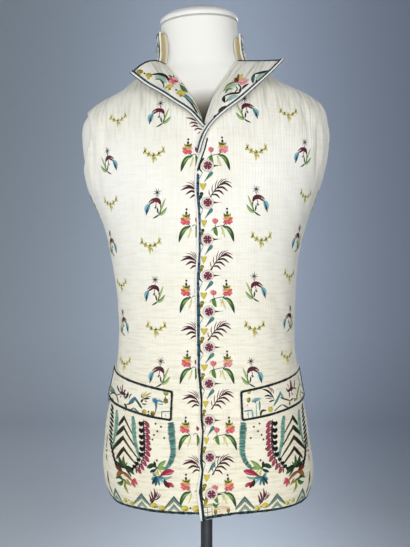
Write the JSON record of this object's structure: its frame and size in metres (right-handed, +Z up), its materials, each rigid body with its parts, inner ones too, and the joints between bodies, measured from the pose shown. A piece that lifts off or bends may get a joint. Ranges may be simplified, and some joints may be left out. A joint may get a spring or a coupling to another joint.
{
  "type": "embroidered waistcoat on a dress form",
  "caption": "Sleeveless buttoned historic waistcoat with standing collar, turned-back lapels, pocket flaps and side vents, worn by a limbless dress form on a pole and round base.",
  "frame": {"origin": "centre of the round base's underside", "axes": "+Z up along the pole, -Y out of the waistcoat's front, +X to the wearer's left"},
  "size_m": [0.3736, 0.3, 0.9099],
  "materials": {
    "ivory_silk": "embroidered ribbed silk",
    "back_linen": "plain linen",
    "button_thread": "thread-covered button",
    "form_jersey": "smooth jersey over a padded form",
    "cap_white": "matte",
    "dark_steel": "satin powder coat"
  },
  "bodies": {
    "root": {"front_left": "ivory_silk", "front_right": "ivory_silk", "back_left": "back_linen", "back_right": "back_linen", "collar": "ivory_silk", "lapel_left": "ivory_silk", "lapel_right": "ivory_silk", "pocket_flap_left": "ivory_silk", "pocket_flap_right": "ivory_silk", "form_torso": "form_jersey", "neck_cap": "cap_white", "pole": "dark_steel", "form_socket": "dark_steel", "base_socket": "dark_steel", "base_plate": "dark_steel", "button_01": "button_thread", "button_02": "button_thread", "button_03": "button_thread", "button_04": "button_thread", "button_05": "button_thread", "button_06": "button_thread", "button_07": "button_thread", "button_08": "button_thread", "button_09": "button_thread", "button_10": "button_thread"}
  },
  "joints": []
}
